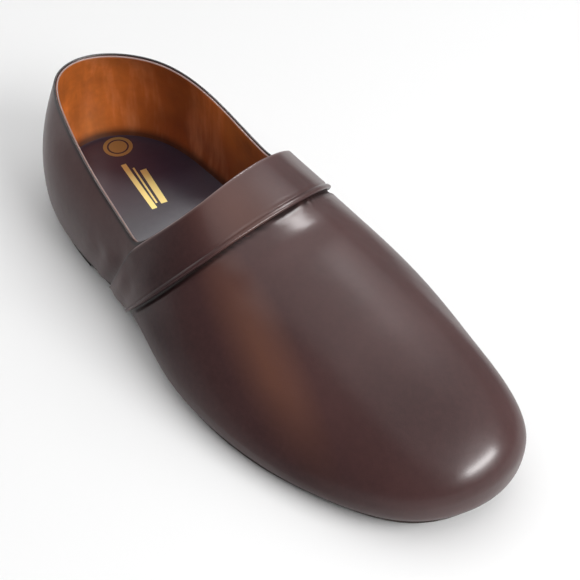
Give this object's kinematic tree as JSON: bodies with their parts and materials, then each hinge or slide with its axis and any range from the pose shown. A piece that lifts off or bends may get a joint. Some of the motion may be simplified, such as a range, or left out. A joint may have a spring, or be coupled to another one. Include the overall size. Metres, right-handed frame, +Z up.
{
  "type": "leather slipper",
  "caption": "Closed-heel leather house slipper for the right foot, with a plain vamp, a folded cuff over the instep, a thin sole and a low heel",
  "frame": {"origin": "on the floor, under the middle of the slipper's box", "axes": "+X from heel to toe, +Y to the inner (medial) side of the right foot, +Z up"},
  "size_m": [0.2852, 0.106, 0.0815],
  "materials": {
    "upper_leather": "polished",
    "cuff_leather": "polished",
    "insole_leather": "satin",
    "sole_leather": "satin",
    "heel_rubber": "matte"
  },
  "bodies": {
    "root": {"upper": "upper_leather", "cuff_band": "cuff_leather", "insole": "insole_leather", "outsole": "sole_leather", "heel_lift": "heel_rubber"}
  },
  "joints": []
}
